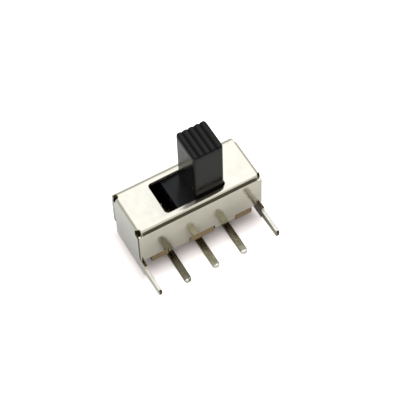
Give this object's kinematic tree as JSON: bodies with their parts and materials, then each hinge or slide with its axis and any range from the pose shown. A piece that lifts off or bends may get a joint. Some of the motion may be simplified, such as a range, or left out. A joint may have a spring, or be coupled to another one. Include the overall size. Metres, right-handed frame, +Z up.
{
  "type": "slide switch",
  "caption": "Miniature right-angle slide switch with a ridged knob, a folded metal cover, a laminate board, flat bent terminals and mounting legs.",
  "frame": {"origin": "on the middle terminal's centre line, in the plane of the leg shoulders that seat on the circuit board", "axes": "+Z up along the knob, +X along the row of terminals and the knob's travel, -Y along the terminals and legs towards the circuit board"},
  "size_m": [0.0086, 0.0057, 0.0087],
  "materials": {
    "tinned_steel": "satin tin plate on folded sheet steel",
    "laminate": "brown laminated board with sheared edges",
    "terminal_metal": "plated brass strip, dull and darkened",
    "black_moulding": "black moulded plastic with a slight gloss",
    "clip_metal": "plated spring bronze, bright"
  },
  "bodies": {
    "housing": {"cover": "tinned_steel", "board": "laminate", "terminal_left": "terminal_metal", "terminal_middle": "terminal_metal", "terminal_right": "terminal_metal"},
    "slider": {"slider": "black_moulding", "contact_clip": "clip_metal"}
  },
  "joints": [
    {"name": "slider_travel", "type": "slide", "parent": "housing", "child": "slider", "axis": [1, 0, 0], "range_m": [-0.002, 0]}
  ]
}
